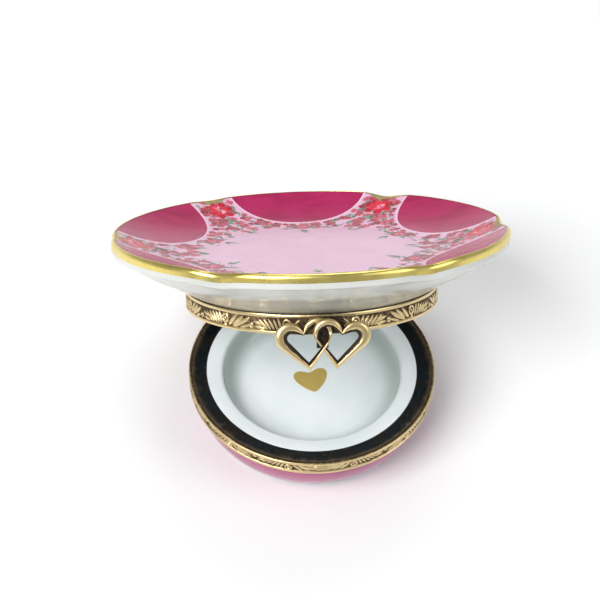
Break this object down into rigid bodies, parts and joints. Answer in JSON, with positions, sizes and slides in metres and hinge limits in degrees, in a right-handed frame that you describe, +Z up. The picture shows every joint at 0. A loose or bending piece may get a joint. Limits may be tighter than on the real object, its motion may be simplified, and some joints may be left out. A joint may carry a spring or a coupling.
{
  "type": "hinged porcelain trinket box",
  "caption": "Hinged porcelain trinket box: a shallow round bowl and a lobed, dish-shaped lid, both in embossed brass mounts, with a snap clasp of linked hearts.",
  "frame": {"origin": "centre of the bowl's foot, on the surface the box stands on", "axes": "+Z up, -Y towards the clasp, +Y towards the hinge, +X to the right seen from the clasp"},
  "size_m": [0.0646, 0.0588, 0.0505],
  "materials": {
    "painted_porcelain_lid": "clear glaze over pink, magenta and floral painting, gilded rim",
    "painted_porcelain_bowl": "clear glaze, magenta outside and white inside",
    "cement": "matte",
    "antique_brass": "embossed, dark patina in the recesses, rubbed bright on the high places",
    "dark_brass": "blackened patina",
    "hinge_brass": "plain, lightly worn"
  },
  "bodies": {
    "base": {"bowl": "painted_porcelain_bowl", "bowl_cement": "cement", "base_band": "antique_brass", "base_collar": "dark_brass", "base_hinge_leaf": "hinge_brass", "base_knuckle_left": "hinge_brass", "base_knuckle_centre": "hinge_brass", "base_knuckle_right": "hinge_brass", "hinge_pin": "hinge_brass", "catch_ridge": "antique_brass"},
    "lid": {"plate": "painted_porcelain_lid", "lid_cement": "cement", "lid_band": "antique_brass", "lid_collar": "dark_brass", "lid_hinge_leaf": "hinge_brass", "lid_knuckle_left": "hinge_brass", "lid_knuckle_right": "hinge_brass", "clasp_backplate": "antique_brass", "clasp_tongue": "antique_brass", "clasp_left_heart": "antique_brass", "clasp_right_heart": "antique_brass"}
  },
  "joints": [
    {"name": "lid_hinge", "type": "hinge", "parent": "base", "child": "lid", "pos_m": [0, 0.02218, 0.01006], "axis": [-1, 0, 0], "range_deg": [-32.9, 52.1]}
  ]
}
